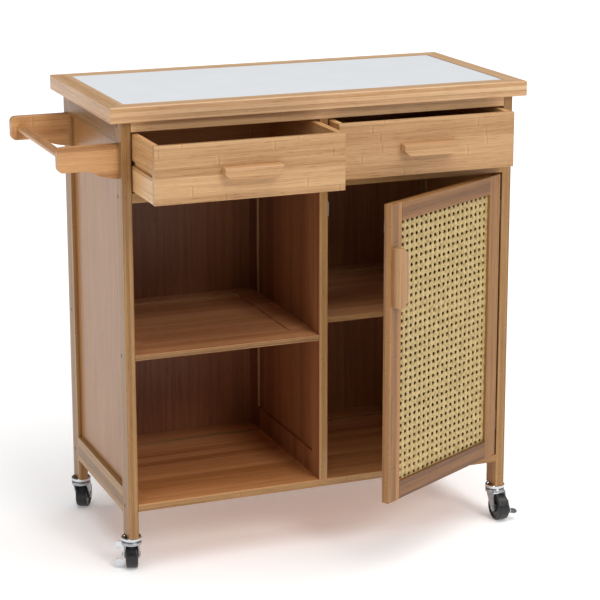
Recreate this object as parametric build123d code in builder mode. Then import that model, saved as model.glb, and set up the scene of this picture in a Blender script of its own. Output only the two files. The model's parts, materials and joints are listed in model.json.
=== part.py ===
"""Bamboo kitchen trolley: worktop, open shelves, two drawers, a cane door and four swivel casters.

Frame: millimetres, X along the width, front towards -Y, Z up.
The origin is on the floor, under the middle of the worktop.
"""
from build123d import *
from math import cos, radians, sin
import os

os.makedirs("parts", exist_ok=True)

# ---------------------------------------------------------------- worktop
CART_H = 862.0            # floor to worktop
TOP_W = 800.0             # worktop width
TOP_D = 400.0             # worktop depth
TOP_T = 28.0              # worktop thickness
RIM_W = 32.0              # width of the bamboo rim round the inlay
RIM_EASE = 2.0            # rounding of the rim's outer edges
MITRE_GAP = 0.15          # hairline at each mitre
INLAY_T = 4.5             # thickness of the white inlay sheet
INLAY_DROP = 0.6          # how far the inlay lies below the rim
INLAY_GAP = 0.4           # gap round the inlay

# ---------------------------------------------------------------- carcass
LEG_X = 18.0              # leg thickness across the cart
LEG_Y = 39.0              # leg depth, front to back
SIDE_OVERHANG = 22.0      # worktop past the legs at the sides
FRONT_OVERHANG = 14.0     # worktop past the legs at the front
REAR_OVERHANG = 10.0      # worktop past the legs at the back
LEG_FOOT = 68.0           # underside of the legs, on top of the casters
SIDE_RAIL_LOW = (108.0, 156.0)
SIDE_RAIL_TOP_H = 42.0
PANEL_T = 5.0             # side panel thickness
PANEL_INSET = 8.0         # side panel face behind the legs' outer faces
BACK_T = 4.0              # back panel thickness
BACK_INSET = 3.0          # back panel face ahead of the legs' rear faces
BACK_FOOT = 112.0         # lower edge of the back panel
TONGUE = 4.0              # how deep a panel enters its groove
FIT = 0.1                 # clearance of a panel in its groove
EASE = 1.2                # rounding of the edges that hands meet
RAIL_D = 36.0             # depth of the front rails
REAR_RAIL_D = 18.0        # depth of the rear top rail
TOP_RAIL_H = 19.0         # height of the rails under the worktop
DRAWER_RAIL = (689.5, 707.5)
BOTTOM = (118.5, 132.5)   # bottom board
BOTTOM_RIM = (24.0, 47.0, 24.0)   # front, rear and side widths of its raised edge
RECESS = 4.0              # floor of a framed board below its raised edge
DIVIDER_T = 17.0
DIVIDER_STILES = (36.0, 43.0)     # front and rear
DIVIDER_RAIL = 44.0
DIVIDER_RECESS = 4.5
SHELF_T = 10.0
LEFT_SHELF_Z = 403.0
RIGHT_SHELF_Z = 429.0
RIGHT_SHELF_SETBACK = 20.0
RIGHT_SHELF_GAP = 1.0
SHELF_RIM = (50.0, 33.0, 36.0)    # front, rear and side widths of a shelf's frame

# ---------------------------------------------------------------- drawers
DRAWER_Z = (710.0, 812.0)
DRAWER_GAP = 2.0          # each side of a drawer
DRAWER_BOARD = 12.0       # thickness of the drawers' boards
DRAWER_LENGTH = 346.0     # front face to rear face
DRAWER_BACK_DROP = 12.0   # back board's top below the sides
DRAWER_FLOOR = (718.0, 722.0)
DRAWERS = {"left": (-1, 125.0), "right": (1, 47.0)}   # side of the divider, and how far open at rest
RUNNER_Z = (757.0, 765.5)
RUNNER_PROUD = 5.5
RUNNER_GROOVE = (755.8, 765.8)
RUNNER_GROOVE_DEPTH = 5.0
HANDLE_L = 108.0
HANDLE_H = 22.0
HANDLE_PROUD = 20.0
HANDLE_CUT = (11.5, 10.0)         # slanted cut at the two lower corners
HANDLE_Z = 758.5

# ---------------------------------------------------------------- door
DOOR_T = 15.0
DOOR_Z = (135.5, 687.0)
DOOR_FREE_GAP = 2.0
DOOR_HINGE_GAP = 4.8      # room for the knuckles beside the leg
DOOR_FRAME = 34.0         # width of the stiles and rails
DOOR_OPEN = 29.5          # degrees open at rest
CANE_T = 2.4
CANE_INSET = 5.0          # cane's face behind the door's outer face
DOOR_HANDLE_Z = 555.0
HINGE_R = 2.0             # knuckle radius
HINGE_PIN_R = 1.0
HINGE_L = 40.0
KNUCKLE_L = 13.0          # length of the door leaf's knuckle
KNUCKLE_GAP = 0.25
HINGE_LEAF_T = 1.0
HINGE_LEAF_W = 9.5
HINGE_CENTRES = (205.0, 618.0)
PIVOT_DEPTH = 2.0         # hinge axis behind the door's outer face
CATCH = (9.0, 14.0, 26.0) # width, depth and height of the magnetic catch
CATCH_Z = 645.0
CATCH_CLEAR = 1.5         # catch behind the closed door
STRIKE = (11.0, 1.2, 18.0)

# ---------------------------------------------------------------- towel rail
BRACKET_T = 16.0
BRACKET_Y = (-162.0, 167.5)       # middle of the front and rear brackets
BRACKET_TOP = 793.0
BRACKET_REACH = 109.0
BRACKET_LOW = 748.5       # underside of the slim outer part
BRACKET_ROOT = 731.5      # underside beside the leg
BRACKET_EASE = 10.0
ROD_R = 8.0
ROD_REACH = 90.0          # rod axis from the leg's outer face
ROD_Z = 771.0
ROD_TENON = 9.0

# ---------------------------------------------------------------- fixings
SCREW_R = 1.95
SCREW_HOLE_R = 2.0
SCREW_HEAD_R = 3.5
SCREW_HEAD_T = 2.0
SCREW_L = 44.0
PIN_R = 2.5
PIN_HALF = 8.0            # a shelf pin's length each side of the surface it stands on
PIN_Y = (-158.0, 165.0)
HOLE_FIT = 0.05           # radial clearance of pins and stems in their holes

# ---------------------------------------------------------------- casters
WHEEL_R = 25.0
WHEEL_W = 22.0
WHEEL_HUB_W = 23.8
WHEEL_HUB_R = 8.0
WHEEL_DISH_R = 19.0
WHEEL_DISH = 2.0
AXLE_R = 3.0
RUNNING_FIT = 0.05        # radial clearance of the wheels and swivels
TRAIL = 18.0              # axle behind the swivel axis
FORK_GAP = 24.5           # between the fork's side plates
FORK_PLATE = 2.0
FORK_SHOULDER = (-9.0, 17.0)      # the plates' top edge, along the trail
CROWN_R = 18.5
CROWN = (53.4, 59.7)
CUP_R = 19.0
CUP_Z = 60.0
STEM_R = 4.0
STEM_UP = 32.0
RIVET_T = 1.5             # axle's riveted ends
BRAKE_T = 1.6
BRAKE_WEB = 11.0          # width of the lever's flat web
BRAKE_ENDS = (-14.0, 20.0)        # middles of the two pedals, along the lever from the axle
PEDAL_R = 8.5
PEDAL_OUT = 8.6           # middle of a pedal, out from the web's inner face
BRAKE_GAP = 0.8           # between the fork's plate and the brake lever
BRAKE_TILT = {"front_left": 0.0, "front_right": -75.0}    # lever from upright, towards the trail
# Heading of each wheel from its stem, in degrees from +X
CASTER_HEADING = {"front_left": 72.0, "front_right": -88.0, "rear_left": 60.0, "rear_right": 70.0}
BRAKED = tuple(BRAKE_TILT)

# ---------------------------------------------------------------- derived places
X_OUT = TOP_W / 2 - SIDE_OVERHANG          # legs' outer faces
X_IN = X_OUT - LEG_X                       # legs' inner faces
Y_FRONT = -TOP_D / 2 + FRONT_OVERHANG      # carcass front
Y_REAR = TOP_D / 2 - REAR_OVERHANG         # carcass rear
Z_UNDER = CART_H - TOP_T                   # worktop underside
FRONT_LEG = (Y_FRONT, Y_FRONT + LEG_Y)
REAR_LEG = (Y_REAR - LEG_Y, Y_REAR)
PANEL_OUT = X_OUT - PANEL_INSET
PANEL_IN = PANEL_OUT - PANEL_T
BACK_OUT = Y_REAR - BACK_INSET
BACK_IN = BACK_OUT - BACK_T
Z_RAIL = Z_UNDER - TOP_RAIL_H              # underside of the top rails
Z_SIDE_RAIL = Z_UNDER - SIDE_RAIL_TOP_H
DIVIDER_X = DIVIDER_T / 2
DIVIDER_OPEN = (Y_FRONT + DIVIDER_STILES[0], BACK_IN - DIVIDER_STILES[1])   # between its stiles
LEGS = {
    "front_left": (-1, FRONT_LEG),
    "front_right": (1, FRONT_LEG),
    "rear_left": (-1, REAR_LEG),
    "rear_right": (1, REAR_LEG),
}
SIDES = {"left": -1, "right": 1}
SCREW_Y = {"front": FRONT_LEG[1] - 13.0, "rear": REAR_LEG[0] + 21.0}
TOP_SCREW_Z = Z_RAIL + TOP_RAIL_H / 2
DRAWER_SCREW_Z = sum(DRAWER_RAIL) / 2
SHELF_SCREW_Z = LEFT_SHELF_Z + SHELF_T / 2
BOTTOM_SCREW_Z = sum(BOTTOM) / 2
# Heights of the screws through each leg into the rails and boards
LEG_SCREWS = {
    "front_left": (TOP_SCREW_Z, DRAWER_SCREW_Z, SHELF_SCREW_Z, BOTTOM_SCREW_Z),
    "front_right": (TOP_SCREW_Z, DRAWER_SCREW_Z, BOTTOM_SCREW_Z),
    "rear_left": (TOP_SCREW_Z, SHELF_SCREW_Z, BOTTOM_SCREW_Z),
    "rear_right": (TOP_SCREW_Z, BOTTOM_SCREW_Z),
}
BRACKET_SCREW_Z = (750.0, 783.0)
PIN_Z = RIGHT_SHELF_Z - PIN_R - HOLE_FIT
PIVOT = (X_IN - DOOR_HINGE_GAP / 2, Y_FRONT + PIVOT_DEPTH)
AXLE_SPAN = FORK_GAP / 2 + FORK_PLATE      # fork's outer faces from its middle


# ---------------------------------------------------------------- helpers
def finish(piece, name):
    """Label a finished piece and write its STEP file."""
    piece.part.label = name
    export_step(piece.part, f"parts/{name}.step")


def block(x, y, z, plane=Plane.XY, mode=Mode.ADD):
    """Add or cut a box between two limits along each axis of a plane."""
    (x0, x1), (y0, y1), (z0, z1) = sorted(x), sorted(y), sorted(z)
    with BuildSketch(plane.offset(z0)) as outline:
        with Locations(((x0 + x1) / 2, (y0 + y1) / 2)):
            Rectangle(x1 - x0, y1 - y0)
    extrude(outline.sketch, amount=z1 - z0, mode=mode)


def rod_x(x, y, z, radius, mode=Mode.ADD):
    """Add or cut a cylinder along X between two limits."""
    x0, x1 = sorted(x)
    with BuildSketch(Plane.YZ.offset(x0)) as outline:
        with Locations((y, z)):
            Circle(radius)
    extrude(outline.sketch, amount=x1 - x0, mode=mode)


def rod_z(centre, z, radius, mode=Mode.ADD):
    """Add or cut a cylinder along Z between two limits."""
    z0, z1 = sorted(z)
    with BuildSketch(Plane.XY.offset(z0)) as outline:
        with Locations(centre):
            Circle(radius)
    extrude(outline.sketch, amount=z1 - z0, mode=mode)


def screw_hole(side, y, z):
    """Cut the hole that a carcass screw needs in the piece behind a leg."""
    rod_x((side * X_IN, side * (X_OUT - SCREW_L - 1)), y, z, SCREW_HOLE_R, mode=Mode.SUBTRACT)


def plank(name, x, y, z, axis, screws=()):
    """Straight board with its long edges eased, and holes for the screws at its ends."""
    with BuildPart() as piece:
        block(x, y, z)
        fillet(piece.edges().filter_by(axis), EASE)
        for side, screw_y, screw_z in screws:
            screw_hole(side, screw_y, screw_z)
    finish(piece, name)


# ---------------------------------------------------------------- worktop
def make_worktop():
    """Core board, white inlay and four mitred rim battens."""
    half_w, half_d = TOP_W / 2, TOP_D / 2
    in_w, in_d = half_w - RIM_W, half_d - RIM_W
    board_top = CART_H - INLAY_DROP - INLAY_T

    with BuildPart() as core:
        block((-in_w, in_w), (-in_d, in_d), (Z_UNDER, board_top))
    finish(core, "worktop_board")

    with BuildPart() as inlay:
        inlay_w, inlay_d = in_w - INLAY_GAP, in_d - INLAY_GAP
        block((-inlay_w, inlay_w), (-inlay_d, inlay_d), (board_top, board_top + INLAY_T))
        fillet(inlay.faces().sort_by(Axis.Z)[-1].edges(), 0.5)
    finish(inlay, "worktop_inlay")

    with BuildPart() as rim:
        for side in (-1, 1):
            long_w, short_w = half_w - MITRE_GAP, in_w - MITRE_GAP
            with BuildSketch(Plane.XY.offset(Z_UNDER)):
                Polygon(
                    (-long_w, side * half_d), (long_w, side * half_d),
                    (short_w, side * in_d), (-short_w, side * in_d), align=None,
                )
                Polygon(
                    (side * half_w, -half_d), (side * half_w, half_d),
                    (side * in_w, in_d), (side * in_w, -in_d), align=None,
                )
            extrude(amount=TOP_T)
        level = rim.edges().filter_by(Plane.XY)
        ends = (
            level.filter_by_position(Axis.X, -half_w, -half_w)
            + level.filter_by_position(Axis.X, half_w, half_w)
        )
        faces = (
            level.filter_by_position(Axis.Y, -half_d, -half_d)
            + level.filter_by_position(Axis.Y, half_d, half_d)
        )
        fillet(ends + faces, RIM_EASE)
    finish(rim, "worktop_rim")


# ---------------------------------------------------------------- carcass
def make_leg(name):
    """Leg with its panel grooves, screw holes and the bore for the caster's stem."""
    side, y = LEGS[name]
    front = y == FRONT_LEG
    with BuildPart() as leg:
        block((side * X_IN, side * X_OUT), y, (LEG_FOOT, Z_UNDER))
        fillet(leg.edges().filter_by(Axis.Z), EASE)
        inner_face = y[1] if front else y[0]
        deep = inner_face - TONGUE if front else inner_face + TONGUE
        block(
            (side * (PANEL_IN - FIT), side * (PANEL_OUT + FIT)), (inner_face, deep),
            (SIDE_RAIL_LOW[1] - TONGUE, Z_SIDE_RAIL + TONGUE), mode=Mode.SUBTRACT,
        )
        if not front:
            block(
                (side * X_IN, side * (X_IN + TONGUE)), (BACK_IN - FIT, BACK_OUT + FIT),
                (BACK_FOOT, Z_UNDER), mode=Mode.SUBTRACT,
            )
        centre = (side * (X_IN + X_OUT) / 2, sum(y) / 2)
        rod_z(centre, (LEG_FOOT, LEG_FOOT + STEM_UP + 1), STEM_R + HOLE_FIT, mode=Mode.SUBTRACT)
        screw_y = SCREW_Y["front" if front else "rear"]
        for z in LEG_SCREWS[name]:
            rod_x((side * X_IN, side * X_OUT), screw_y, z, SCREW_HOLE_R, mode=Mode.SUBTRACT)
            rod_x(
                (side * (X_OUT - SCREW_HEAD_T), side * X_OUT), screw_y, z, SCREW_HEAD_R + FIT,
                mode=Mode.SUBTRACT,
            )
        if side < 0:
            for z in BRACKET_SCREW_Z:
                bracket_y = BRACKET_Y[0 if front else 1]
                rod_x((-X_OUT, -X_IN), bracket_y, z, SCREW_HOLE_R, mode=Mode.SUBTRACT)
                rod_x((-X_IN - SCREW_HEAD_T, -X_IN), bracket_y, z, SCREW_HEAD_R + FIT, mode=Mode.SUBTRACT)
        else:
            pin_y = PIN_Y[0 if front else 1]
            rod_x((X_IN, X_IN + PIN_HALF + 1), pin_y, PIN_Z, PIN_R + HOLE_FIT, mode=Mode.SUBTRACT)
    finish(leg, f"leg_{name}")


def make_side(name):
    """Grooved rails and the thin panel between one side's legs."""
    side = SIDES[name]
    thickness = (side * X_IN, side * X_OUT)
    groove_x = (side * (PANEL_IN - FIT), side * (PANEL_OUT + FIT))
    span = (FRONT_LEG[1], REAR_LEG[0])

    with BuildPart() as low_rail:
        block(thickness, span, SIDE_RAIL_LOW)
        fillet(low_rail.edges().filter_by(Axis.Y), EASE)
        block(groove_x, span, (SIDE_RAIL_LOW[1] - TONGUE, SIDE_RAIL_LOW[1]), mode=Mode.SUBTRACT)
    finish(low_rail, f"side_rail_low_{name}")

    with BuildPart() as top_rail:
        block(thickness, span, (Z_SIDE_RAIL, Z_UNDER))
        fillet(top_rail.edges().filter_by(Axis.Y), EASE)
        block(groove_x, span, (Z_SIDE_RAIL, Z_SIDE_RAIL + TONGUE), mode=Mode.SUBTRACT)
    finish(top_rail, f"side_rail_top_{name}")

    with BuildPart() as panel:
        reach = TONGUE - FIT
        block(
            (side * PANEL_IN, side * PANEL_OUT), (span[0] - reach, span[1] + reach),
            (SIDE_RAIL_LOW[1] - reach, Z_SIDE_RAIL + reach),
        )
    finish(panel, f"side_panel_{name}")


def make_rails():
    """Rails under the worktop, and the pair of rails under the drawers."""
    front_y, rear_y = SCREW_Y["front"], SCREW_Y["rear"]
    across = (-X_IN, X_IN)
    top = (Z_RAIL, Z_UNDER)
    front_ends = [(side, front_y, TOP_SCREW_Z) for side in (-1, 1)]
    rear_ends = [(side, rear_y, TOP_SCREW_Z) for side in (-1, 1)]
    plank("front_top_rail", across, (Y_FRONT, Y_FRONT + RAIL_D), top, Axis.X, front_ends)
    plank("rear_top_rail", across, (BACK_IN - REAR_RAIL_D, BACK_IN), top, Axis.X, rear_ends)

    with BuildPart() as rails:
        for side in (-1, 1):
            block((side * DIVIDER_X, side * X_IN), (Y_FRONT, Y_FRONT + RAIL_D), DRAWER_RAIL)
        fillet(rails.edges().filter_by(Axis.X), EASE)
        for side in (-1, 1):
            screw_hole(side, front_y, DRAWER_SCREW_Z)
    finish(rails, "drawer_rails")


def make_back():
    """Thin back panel in the rear legs' grooves."""
    reach = X_IN + TONGUE - FIT
    with BuildPart() as panel:
        block((-reach, reach), (BACK_IN, BACK_OUT), (BACK_FOOT, Z_UNDER))
    finish(panel, "back_panel")


def make_bottom():
    """Bottom board with a floor set below its raised edge in each bay."""
    front, rear, end = BOTTOM_RIM
    with BuildPart() as bottom:
        block((-X_IN, X_IN), (Y_FRONT, BACK_IN), BOTTOM)
        fillet(bottom.edges().filter_by(Axis.X).group_by(Axis.Y)[0], EASE)
        for side in (-1, 1):
            block(
                (side * DIVIDER_X, side * (X_IN - end)), (Y_FRONT + front, BACK_IN - rear),
                (BOTTOM[1] - RECESS, BOTTOM[1]), mode=Mode.SUBTRACT,
            )
            for screw_y in SCREW_Y.values():
                screw_hole(side, screw_y, BOTTOM_SCREW_Z)
    finish(bottom, "bottom_board")


def make_divider():
    """Framed divider between the bays, with a thin panel showing on both faces."""
    panel_x = DIVIDER_X - DIVIDER_RECESS
    with BuildPart() as divider:
        block((-DIVIDER_X, DIVIDER_X), (Y_FRONT, BACK_IN), (BOTTOM[1], Z_RAIL))
        fillet(divider.edges().filter_by(Axis.Z), EASE)
        for side in (-1, 1):
            block(
                (side * panel_x, side * DIVIDER_X), DIVIDER_OPEN,
                (BOTTOM[1] + DIVIDER_RAIL, Z_RAIL - DIVIDER_RAIL), mode=Mode.SUBTRACT,
            )
        for pin_y in PIN_Y:
            rod_x((DIVIDER_X - PIN_HALF - 1, DIVIDER_X), pin_y, PIN_Z, PIN_R + HOLE_FIT, mode=Mode.SUBTRACT)
    finish(divider, "divider")


def make_shelf(name, side, y, base_z, tongues, gap=0.0):
    """Framed shelf with a floor set below its edge; tongues reach the panels beside it."""
    front, rear, end = SHELF_RIM
    x = (side * (DIVIDER_X + gap), side * (X_IN - gap))
    z = (base_z, base_z + SHELF_T)
    with BuildPart() as shelf:
        block(x, y, z)
        fillet(shelf.edges().filter_by(Axis.X).group_by(Axis.Y)[0], EASE)
        if tongues:
            block(
                (side * X_IN, side * (PANEL_IN - FIT)),
                (FRONT_LEG[1] + FIT, REAR_LEG[0] - FIT), z,
            )
            block(
                (side * DIVIDER_X, side * (DIVIDER_X - DIVIDER_RECESS + FIT)),
                (DIVIDER_OPEN[0] + FIT, DIVIDER_OPEN[1] - FIT), z,
            )
            for screw_y in SCREW_Y.values():
                screw_hole(side, screw_y, SHELF_SCREW_Z)
        block(
            (x[0] + side * end, x[1] - side * end), (y[0] + front, y[1] - rear),
            (z[1] - RECESS, z[1]), mode=Mode.SUBTRACT,
        )
    finish(shelf, name)


def make_fixings():
    """Runner strips, shelf pins and carcass screws, each kind a group of separate solids."""
    with BuildPart() as runners:
        runner_y = (Y_FRONT + DRAWER_BOARD + 1.5, BACK_IN - 5.0)
        for side in (-1, 1):
            block((side * X_IN, side * (X_IN - RUNNER_PROUD)), runner_y, RUNNER_Z)
            block((side * DIVIDER_X, side * (DIVIDER_X + RUNNER_PROUD)), runner_y, RUNNER_Z)
    finish(runners, "drawer_runners")

    with BuildPart() as pins:
        for base_x in (DIVIDER_X, X_IN):
            for pin_y in PIN_Y:
                rod_x((base_x - PIN_HALF, base_x + PIN_HALF), pin_y, PIN_Z, PIN_R)
    finish(pins, "shelf_pins")

    with BuildPart() as screws:
        for name, heights in LEG_SCREWS.items():
            side, y = LEGS[name]
            screw_y = SCREW_Y["front" if y == FRONT_LEG else "rear"]
            for z in heights:
                rod_x((side * X_OUT, side * (X_OUT - SCREW_HEAD_T)), screw_y, z, SCREW_HEAD_R)
                rod_x((side * X_OUT, side * (X_OUT - SCREW_L)), screw_y, z, SCREW_R)
        for bracket_y in BRACKET_Y:
            for z in BRACKET_SCREW_Z:
                rod_x((-X_IN, -X_IN - SCREW_HEAD_T), bracket_y, z, SCREW_HEAD_R)
                rod_x((-X_IN, -X_IN - SCREW_L), bracket_y, z, SCREW_R)
    finish(screws, "carcass_screws")


# ---------------------------------------------------------------- towel rail
def make_towel_rail():
    """Pair of brackets on the left legs, and the round rod between them."""
    root, tip = -X_OUT, -X_OUT - BRACKET_REACH
    with BuildPart() as brackets:
        for bracket_y in BRACKET_Y:
            with BuildSketch(Plane.XZ.offset(-bracket_y - BRACKET_T / 2)) as profile:
                with BuildLine():
                    Polyline(
                        (root, BRACKET_ROOT), (root, BRACKET_TOP), (tip, BRACKET_TOP),
                        (tip, BRACKET_LOW), (root - 64, BRACKET_LOW),
                    )
                    Spline(
                        (root - 64, BRACKET_LOW), (root - 36, BRACKET_LOW - 9), (root, BRACKET_ROOT),
                        tangents=((1, 0), (1, -0.1)),
                    )
                make_face()
                fillet(profile.vertices().group_by(Axis.X)[0], BRACKET_EASE)
            extrude(amount=BRACKET_T)
        flats = brackets.faces().filter_by(Axis.Y)
        fillet(flats.edges().filter_by_position(Axis.X, tip - 1, root - 1), EASE)
        rod_y = (BRACKET_Y[0] + BRACKET_T / 2 - ROD_TENON, BRACKET_Y[1] - BRACKET_T / 2 + ROD_TENON)
        with BuildSketch(Plane.XZ.offset(-rod_y[1])):
            with Locations((-X_OUT - ROD_REACH, ROD_Z)):
                Circle(ROD_R)
        extrude(amount=rod_y[1] - rod_y[0], mode=Mode.SUBTRACT)
        for bracket_y in BRACKET_Y:
            for z in BRACKET_SCREW_Z:
                rod_x((root, root - SCREW_L + LEG_X - 1), bracket_y, z, SCREW_HOLE_R, mode=Mode.SUBTRACT)
    finish(brackets, "towel_brackets")

    with BuildPart() as rod:
        with BuildSketch(Plane.XZ.offset(-rod_y[1] + FIT)):
            with Locations((-X_OUT - ROD_REACH, ROD_Z)):
                Circle(ROD_R - HOLE_FIT)
        extrude(amount=rod_y[1] - rod_y[0] - 2 * FIT)
    finish(rod, "towel_rod")


# ---------------------------------------------------------------- drawers
def make_handle(name, plane):
    """Solid bar handle; the plane's X runs along it and its Z points away from the front."""
    cut_x, cut_y = HANDLE_CUT
    with BuildPart() as handle:
        half_l, half_h = HANDLE_L / 2, HANDLE_H / 2
        with BuildSketch(plane):
            Polygon(
                (-half_l, half_h), (-half_l, cut_y - half_h), (cut_x - half_l, -half_h),
                (half_l - cut_x, -half_h), (half_l, cut_y - half_h), (half_l, half_h), align=None,
            )
        extrude(amount=HANDLE_PROUD)
        outer = handle.faces().sort_by(Axis(plane.origin, plane.z_dir))[-1]
        long_edges = outer.edges().sort_by(Axis(plane.origin, plane.y_dir))
        fillet(long_edges[-1], 7.0)
        rest = handle.faces().sort_by(Axis(plane.origin, plane.z_dir))[-1].edges()
        fillet(rest.sort_by(Axis(plane.origin, plane.y_dir))[0:5], 1.5)
    finish(handle, name)


def make_drawer(name):
    """Drawer box on side grooves, with an inset front, a thin floor and a bar handle."""
    side, out = DRAWERS[name]
    near = side * (DIVIDER_X + DRAWER_GAP)          # face beside the divider
    far = side * (X_IN - DRAWER_GAP)                # face beside the legs
    front_y = Y_FRONT - out
    back_y = front_y + DRAWER_LENGTH
    inner_y = front_y + DRAWER_BOARD
    groove_z = (DRAWER_FLOOR[0] - FIT, DRAWER_FLOOR[1] + FIT)
    inside = (near + side * DRAWER_BOARD, far - side * DRAWER_BOARD)
    floor_x = (inside[0] - side * TONGUE, inside[1] + side * TONGUE)

    with BuildPart() as front:
        block((near, far), (front_y, inner_y), DRAWER_Z)
        fillet(front.edges().filter_by(Axis.X), EASE)
        block(floor_x, (inner_y - TONGUE, inner_y), groove_z, mode=Mode.SUBTRACT)
    finish(front, f"drawer_{name}_front")

    for label, outer, inward in (("divider_side", near, side), ("leg_side", far, -side)):
        with BuildPart() as wall:
            block((outer, outer + inward * DRAWER_BOARD), (inner_y, back_y), DRAWER_Z)
            fillet(wall.edges().filter_by(Axis.Y), EASE)
            block(
                (outer, outer + inward * RUNNER_GROOVE_DEPTH), (inner_y, back_y), RUNNER_GROOVE,
                mode=Mode.SUBTRACT,
            )
            inner = outer + inward * DRAWER_BOARD
            block((inner - inward * TONGUE, inner), (inner_y, back_y), groove_z, mode=Mode.SUBTRACT)
        finish(wall, f"drawer_{name}_{label}")

    with BuildPart() as back:
        back_z = (DRAWER_Z[0], DRAWER_Z[1] - DRAWER_BACK_DROP)
        block(inside, (back_y - DRAWER_BOARD, back_y), back_z)
        fillet(back.edges().filter_by(Axis.X), EASE)
        block(inside, (back_y - DRAWER_BOARD, back_y - DRAWER_BOARD + TONGUE), groove_z, mode=Mode.SUBTRACT)
    finish(back, f"drawer_{name}_back")

    with BuildPart() as floor:
        reach = TONGUE - FIT
        block(
            (inside[0] - side * reach, inside[1] + side * reach),
            (inner_y - reach, back_y - DRAWER_BOARD), DRAWER_FLOOR,
        )
        block(
            (inside[0] + side * FIT, inside[1] - side * FIT),
            (back_y - DRAWER_BOARD, back_y - DRAWER_BOARD + reach), DRAWER_FLOOR,
        )
    finish(floor, f"drawer_{name}_floor")

    middle = ((near + far) / 2, front_y, HANDLE_Z)
    make_handle(f"drawer_{name}_handle", Plane(origin=middle, x_dir=(1, 0, 0), z_dir=(0, -1, 0)))


# ---------------------------------------------------------------- door
def make_door():
    """Framed cane door on two butt hinges; its plane's X runs to the free edge and Y outwards."""
    turn = radians(DOOR_OPEN)
    door = Plane(origin=(*PIVOT, 0), x_dir=(-cos(turn), -sin(turn), 0), z_dir=(0, 0, 1))
    hinge_edge = DOOR_HINGE_GAP / 2
    free_edge = PIVOT[0] - DIVIDER_X - DOOR_FREE_GAP
    face = PIVOT_DEPTH
    thickness = (face - DOOR_T, face)
    window_x = (hinge_edge + DOOR_FRAME, free_edge - DOOR_FRAME)
    window_z = (DOOR_Z[0] + DOOR_FRAME, DOOR_Z[1] - DOOR_FRAME)
    cane_y = (face - CANE_INSET - CANE_T, face - CANE_INSET)
    groove_y = (cane_y[0] - FIT, cane_y[1] + FIT)
    groove_x = (window_x[0] - TONGUE, window_x[1] + TONGUE)
    groove_z = (window_z[0] - TONGUE, window_z[1] + TONGUE)

    for label, x in (("hinge", (hinge_edge, window_x[0])), ("free", (window_x[1], free_edge))):
        with BuildPart() as stile:
            block(x, thickness, DOOR_Z, plane=door)
            fillet(stile.edges().filter_by(Axis.Z), EASE)
            block(groove_x, groove_y, groove_z, plane=door, mode=Mode.SUBTRACT)
        finish(stile, f"door_stile_{label}")

    for label, z in (("low", (DOOR_Z[0], window_z[0])), ("top", (window_z[1], DOOR_Z[1]))):
        with BuildPart() as rail:
            block(window_x, thickness, z, plane=door)
            fillet(rail.edges().filter_by(Axis((0, 0, 0), door.x_dir)), EASE)
            block(window_x, groove_y, groove_z, plane=door, mode=Mode.SUBTRACT)
        finish(rail, f"door_rail_{label}")

    with BuildPart() as cane:
        reach = TONGUE - FIT
        block(
            (window_x[0] - reach, window_x[1] + reach), cane_y,
            (window_z[0] - reach, window_z[1] + reach), plane=door,
        )
    finish(cane, "door_cane")

    handle_at = door.from_local_coords(Vector(free_edge - DOOR_FRAME / 2, face, DOOR_HANDLE_Z))
    make_handle("door_handle", Plane(origin=handle_at, x_dir=(0, 0, 1), z_dir=door.y_dir))

    with BuildPart() as strike:
        width, depth, height = STRIKE
        block(
            (free_edge - DOOR_FREE_GAP - width, free_edge - DOOR_FREE_GAP),
            (thickness[0] - depth, thickness[0]),
            (CATCH_Z - height / 2, CATCH_Z + height / 2), plane=door,
        )
    finish(strike, "door_strike_plate")

    with BuildPart() as leaves:
        for centre in HINGE_CENTRES:
            knuckle = (centre - KNUCKLE_L / 2, centre + KNUCKLE_L / 2)
            leaf_x = (hinge_edge - HINGE_LEAF_T, hinge_edge)
            rod_z(PIVOT, knuckle, HINGE_R)
            block(leaf_x, (-HINGE_R, 0), knuckle, plane=door)
            block(
                leaf_x, (-HINGE_R - HINGE_LEAF_W, -HINGE_R - KNUCKLE_GAP),
                (centre - HINGE_L / 2, centre + HINGE_L / 2), plane=door,
            )
            block(leaf_x, (-HINGE_R - KNUCKLE_GAP, -HINGE_R), knuckle, plane=door)
            rod_z(PIVOT, knuckle, HINGE_PIN_R + HOLE_FIT, mode=Mode.SUBTRACT)
    finish(leaves, "hinge_leaves_door")


def make_hinges():
    """Hinge leaves on the right front leg, the hinge pins, and the magnetic catch."""
    inner = PIVOT[1] + HINGE_R + KNUCKLE_GAP
    leaf_x = (X_IN - HINGE_LEAF_T, X_IN)
    with BuildPart() as leaves:
        for centre in HINGE_CENTRES:
            span = (centre - HINGE_L / 2, centre + HINGE_L / 2)
            block(leaf_x, (inner, PIVOT[1] + HINGE_R + HINGE_LEAF_W), span)
            for end in span:
                near = centre + (KNUCKLE_L / 2 + KNUCKLE_GAP) * (1 if end > centre else -1)
                rod_z(PIVOT, (near, end), HINGE_R)
                block(leaf_x, (PIVOT[1], inner), (near, end))
            rod_z(PIVOT, span, HINGE_PIN_R + HOLE_FIT, mode=Mode.SUBTRACT)
    finish(leaves, "hinge_leaves_leg")

    with BuildPart() as pins:
        for centre in HINGE_CENTRES:
            rod_z(PIVOT, (centre - HINGE_L / 2 - 1, centre + HINGE_L / 2 + 1), HINGE_PIN_R)
            rod_z(PIVOT, (centre + HINGE_L / 2 + 0.1, centre + HINGE_L / 2 + 1), HINGE_R - 0.3)
    finish(pins, "hinge_pins")

    with BuildPart() as catch:
        width, depth, height = CATCH
        catch_y = Y_FRONT + DOOR_T + CATCH_CLEAR
        block(
            (DIVIDER_X, DIVIDER_X + width), (catch_y, catch_y + depth),
            (CATCH_Z - height / 2, CATCH_Z + height / 2),
        )
        fillet(catch.edges().filter_by(Axis.Z).group_by(Axis.X)[-1], 1.5)
    finish(catch, "door_catch")


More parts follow.
